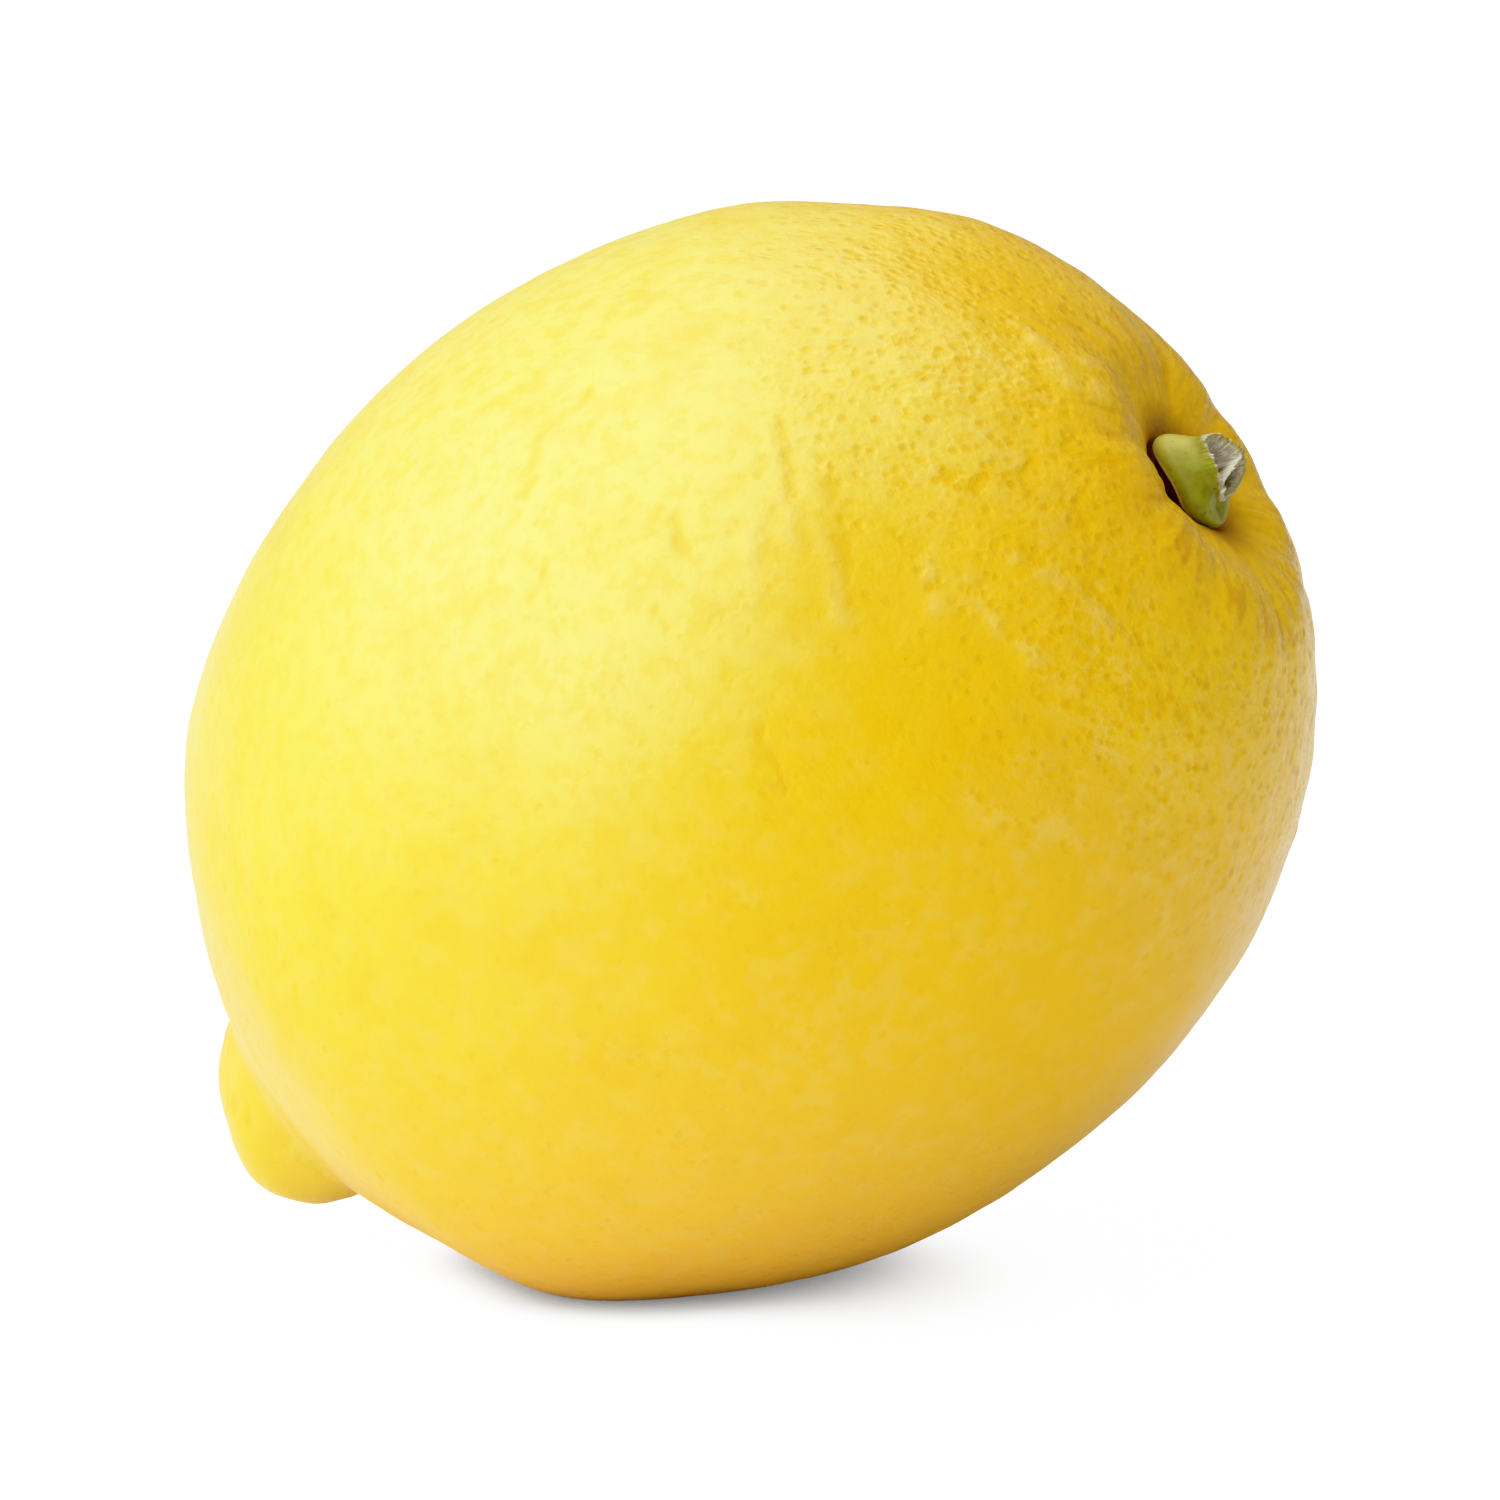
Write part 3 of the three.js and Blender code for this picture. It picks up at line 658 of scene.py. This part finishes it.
def foldAcross(y, z, veins):  # how near the dry fold is and how far along it, both 0 to 1
    b = calyxButton
    ends = radians(b["ridgeFrom"]), radians(b["ridgeTo"])
    start, end = (np.array([-cos(a), sin(a)]) * b["ridgeRadius"] for a in ends)
    way = end - start
    spot = np.stack([y, z], -1) - start
    share = np.clip((spot @ way) / (way @ way), 0, 1)
    off = spot - share[..., None] * way + b["ridgeWander"] * veins[..., None]
    return np.exp(-((np.linalg.norm(off, axis=-1) / b["ridgeWidth"]) ** 2)), share


def makeButton():
    b = calyxButton
    curve = evenly(spline(b["outline"], b["outlineSteps"]), b["rows"])
    points, out = turn(curve, b["columns"])
    height = points[..., 0]
    x, y, z = height.copy(), points[..., 1].copy(), points[..., 2].copy()
    radius = np.hypot(y, z)
    around = np.degrees(np.arctan2(z, -y))
    ring = np.stack([np.cos(np.radians(around)), np.sin(np.radians(around))], -1)
    rimRow = int(np.argmax(curve[:, 0]))
    row = np.arange(b["rows"])[:, None] * np.ones(b["columns"])
    outside = row < rimRow
    inside = soft(row, *(rimRow + rows for rows in b["insideRows"]))
    tatters = rays(x * b["raggedRun"] + b["raggedSeed"], ring * b["raggedTurns"])
    frayed = ring * b["fibreTurns"] + tatters[..., None] * b["fibreWander"]
    strands = rays(x * b["raggedRun"], frayed)
    strands = strands * (b["fibreLeast"] + b["fibreMore"] * np.abs(tatters))
    veins = rays(x * b["veinRun"] + b["veinSeed"], ring * b["veinTurns"])

    # the lobes reach out from the stub; between two of them the edge draws in and lifts
    outward, rise = spreadLobes(height, radius, around)
    y, z = y * outward, z * outward
    x = x + rise

    # the stub is torn off unevenly and hollow, with a dry fold across the hollow
    cut = soft(height, b["cutStart"], b["rimUsual"])
    torn = np.maximum(soft(height, *b["tornHeight"]), inside)
    angles, rises = zip(*b["rim"])
    rim = np.interp(around % 360, angles, rises, period=360)
    x = x + rim * np.minimum(radius / b["stubRadius"], 1) * cut
    x = x + (b["ragged"] * tatters + b["fibres"] * strands) * torn * soft(radius, *b["tornRadius"])
    ridge, share = foldAcross(y, z, veins)
    ridge = ridge * inside
    top = b["rimUsual"] + b["ridgeLow"] + b["ridgeClimb"] * share + b["ridgeUneven"] * tatters
    x = x + ridge * np.clip(top - x, 0, b["ridgeMost"])
    swell = b["veins"] * veins * (1 - torn) + b["fibres"] * strands * torn * (1 - inside)
    shaped = np.stack([x + b["seat"], y, z], -1) + out * swell[..., None]

    # where each finish shows
    off = height - b["edgeHeight"] - b["edgeWander"] * tatters
    edge = np.exp(-((off / b["edgeWidth"]) ** 2))
    lower, *downAt = b["dryDown"]
    higher, *upAt = b["dryUp"]
    dryStart = b["dryHeight"] - lower * bell(around, *downAt) + higher * bell(around, *upAt)
    dryAt = height + b["dryWander"] * tatters
    dryOutside = soft(dryAt, dryStart, dryStart + b["dryBand"]) * outside
    moreRows, *moreAt = b["dryMoreRows"]
    more = moreRows * bell(around, *moreAt)
    firstRow, lastRow = (rimRow + rows for rows in b["dryRows"])
    dryInside = inside * (1 - soft(row, firstRow + more, lastRow + b["dryFade"] * more))
    button = meshOf("calyx", lay(followCentreline(shaped)) + offset, {
        "place": points,
        "under": (1 - soft(height, *b["underHeight"])) * outside,
        "edge": edge * (radius > b["edgeRadius"]) * outside,
        "dry": np.maximum(dryOutside, dryInside),
        "ridge": ridge,
        "hollow": soft(row, *(rimRow + rows for rows in b["hollowRows"])),
        "pale": bell(around, *b["paleSide"]) * (1 - soft(height, *b["paleHeight"])),
        "strands": strands,
    })
    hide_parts("calyx_button")
    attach(button, "root")
    return button


def buttonMaterial():
    f = Finish("green_calyx_with_torn_stub")
    b = calyxButton
    place = f.place()
    under, edge, dry, ridge, inside, pale, strands = (
        f.mask(name) for name in ("under", "edge", "dry", "ridge", "hollow", "pale", "strands"))
    mottle = f.cloud(place, *b["mottleCloud"])
    fine = f.cloud(place, *b["fineCloud"])
    away = f.cells(place, b["specksInMm"])[0]
    specks = away.step(*b["speckWidth"]) * f.cloud(place, b["speckCloud"]).step(*b["speckShare"])
    colour = f.tint(mottle.step(*b["oliveRange"]) * b["oliveMost"], b["green"], b["olive"])
    # paler green on the upper lobe: partly its own colour, partly painted highlight
    colour = f.tint(pale * b["paleMost"], colour, b["pale"])
    colour = f.tint(specks * b["speckMost"], colour, b["speck"])

    # grey and straw where it is dry, with white strands, partly the fibres' own white and partly
    # painted glints; the hollow is a darker olive, partly painted shade
    weathered = f.tint(fine.step(*b["ashRange"]), b["ash"], b["dry"])
    white = strands.step(*b["fibreRange"]) * (1.0 - inside * b["fibreLess"])
    weathered = f.tint(white, weathered, b["fibreAndGlint"])
    # partly painted shade: a darker olive inside the stub's hollow
    cavity = f.tint(fine.step(*b["cavityRange"]) * b["cavityMost"], b["hollow"], b["dry"])
    foldColour = f.tint(fine.step(*b["ridgeFibre"]), b["dry"], b["fibreAndGlint"])
    colour = f.tint(inside, colour, cavity)
    colour = f.tint(dry, colour, weathered)
    colour = f.tint(ridge.step(*b["ridgeRange"]), colour, foldColour)
    colour = f.tint(edge, colour, b["tan"])
    # dark brown under the lobes and round the foot: partly the dried tissue's own colour, partly
    # painted shade
    colour = f.tint(under, colour, b["brown"])
    relief = mottle * b["mottleRelief"] + fine * (dry * b["dryRelief"] + b["fineRelief"])
    relief = relief + edge * b["edgeRelief"] - specks * b["speckRelief"]
    roughness = b["rough"] + dry * b["roughDry"] + under * b["roughUnder"]
    return f.close(b["flesh"], {"Base Color": colour, "Roughness": roughness}, relief)


rind = makeRind()
print("rind shaped,", len(rind.data.polygons), "faces")
rind.data.materials.append(rindMaterial())
print("rind finished")
button = makeButton()
print("button shaped,", len(button.data.polygons), "faces")
button.data.materials.append(buttonMaterial())
print("button finished")


# white floor, broad soft box to the left and above, a weak one behind, pale room
studio = {
    # camera in degrees and millimetres, floor and lights in metres
    "azimuth": 16.5, "elevation": 12.0, "distance": 600.0, "lens": 243.4, "sensor": 36,
    "clip": (0.01, 50), "aimRight": 0.59, "aimUp": 0.355,   # the fruit sits a little left and low
    "floorRadius": 3.0, "floorSides": 96, "floorTone": 0.92,
    "floorFinish": {"Roughness": 0.9, "Specular IOR Level": 0.0},
    "floorGlow": 1.46, "floorShade": 0.2,                   # both are for the camera alone
    # the contact shade reaches further toward the stalk end
    "contactReach": (0.0028, 0.0075), "contactStart": (0.0, 0.018),
    "contactRange": (0.0, 0.62), "contactTone": 0.1, "contactSamples": 2,
    "room": 0.30,
    "whitePoint": 1.6,
    "exposure": [           # scene light and screen light, both as shares
        (0, 0), (0.0125, 0.007), (0.04, 0.046), (0.1, 0.15), (0.344, 0.55), (0.5, 0.76),
        (0.625, 0.87), (0.75, 0.94), (0.875, 0.98), (1, 1),
    ],
    "lights": [             # name, degrees from the camera, degrees up, distance, size, watts
        ("keyBox", -62, 45, 1.0, 2.0, 21.0),
        ("topBox", 180, 65, 1.0, 0.8, 2.6),
    ],
    "lightAim": 0.03,
}


def towards(turned, height):  # a direction, from degrees round the fruit and degrees up
    a, e = radians(turned), radians(height)
    return Vector((sin(a) * cos(e), -cos(a) * cos(e), sin(e)))


def makeCamera():
    s = studio
    back = towards(s["azimuth"], s["elevation"])
    right = Vector((cos(radians(s["azimuth"])), sin(radians(s["azimuth"])), 0))
    centre = Vector((offset[0], offset[1], lie["centreHeight"])) * mm
    data = bpy.data.cameras.new("camera")
    data.lens = s["lens"]
    data.sensor_width = s["sensor"]
    data.clip_start, data.clip_end = s["clip"]
    camera = bpy.data.objects.new("camera", data)
    camera.location = centre + back * s["distance"] * mm
    aim = centre + (right * s["aimRight"] + back.cross(right) * s["aimUp"]) * mm
    camera.rotation_euler = (camera.location - aim).to_track_quat("Z", "Y").to_euler()
    bpy.context.scene.collection.objects.link(camera)
    bpy.context.scene.camera = camera
    print("camera set")


def floorMaterial():
    f = Finish("white_sweep")
    s = studio
    lighting = f.node("ShaderNodeBsdfPrincipled", {}, {
        **s["floorFinish"], "Base Color": grey(s["floorTone"]),
    })
    # the camera alone sees a glowing floor, with a painted contact shadow: grey only where the
    # fruit all but touches it
    along = f.parts(f.node("ShaderNodeNewGeometry", {}, {}))[0]
    low, high = s["contactReach"]
    reach = along.step(*s["contactStart"]) * (high - low) + low
    samples = {"samples": s["contactSamples"]}
    near = f.node("ShaderNodeAmbientOcclusion", samples, {"Distance": reach}, 1)
    glow = f.tint(near.step(*s["contactRange"]), grey(s["contactTone"]), grey(1))
    seen = f.node("ShaderNodeBsdfPrincipled", {}, {
        **s["floorFinish"], "Base Color": grey(s["floorTone"] * s["floorShade"]),
        "Emission Color": glow, "Emission Strength": s["floorGlow"],
    })
    isCamera = f.node("ShaderNodeLightPath", {}, {})
    surface = f.node("ShaderNodeMixShader", {}, [isCamera, lighting, seen])
    f.node("ShaderNodeOutputMaterial", {}, {"Surface": surface})
    return f.material


def makeFloor():
    count, radius = studio["floorSides"], studio["floorRadius"]
    angles = [2 * pi * i / count for i in range(count)]
    ring = [(radius * cos(a), radius * sin(a), 0) for a in angles]
    mesh = bpy.data.meshes.new("floor")
    mesh.from_pydata(ring, [], [tuple(range(count))])
    mesh.materials.append(floorMaterial())
    floor = bpy.data.objects.new("floor", mesh)
    bpy.context.scene.collection.objects.link(floor)
    print("floor laid")


def makeLights():
    for name, turned, height, distance, size, watts in studio["lights"]:
        data = bpy.data.lights.new(name, "AREA")
        data.shape = "DISK"
        data.size = size
        data.energy = watts
        toward = towards(studio["azimuth"] + turned, height)
        light = bpy.data.objects.new(name, data)
        light.location = toward * distance + Vector((0, 0, studio["lightAim"]))
        light.rotation_euler = toward.to_track_quat("Z", "Y").to_euler()
        bpy.context.scene.collection.objects.link(light)
    world = bpy.data.worlds.new("room")
    world.use_nodes = True
    bpy.context.scene.world = world
    background = world.node_tree.nodes["Background"]
    background.inputs["Color"].default_value = grey(1)
    background.inputs["Strength"].default_value = studio["room"]
    print("lights and room set")


def makeExposure():  # a soft shoulder, so pale highlights keep their colour
    view = bpy.context.scene.view_settings
    view.view_transform = "Standard"
    view.use_curve_mapping = True
    mapping = view.curve_mapping
    mapping.white_level = [studio["whitePoint"]] * 3
    curve = mapping.curves[3]       # the one for all three colours
    while len(curve.points) < len(studio["exposure"]):
        curve.points.new(0.5, 0.5)
    for point, place in zip(curve.points, studio["exposure"]):
        point.location = place
    mapping.update()
    print("exposure set")


makeCamera()
makeFloor()
makeLights()
makeExposure()
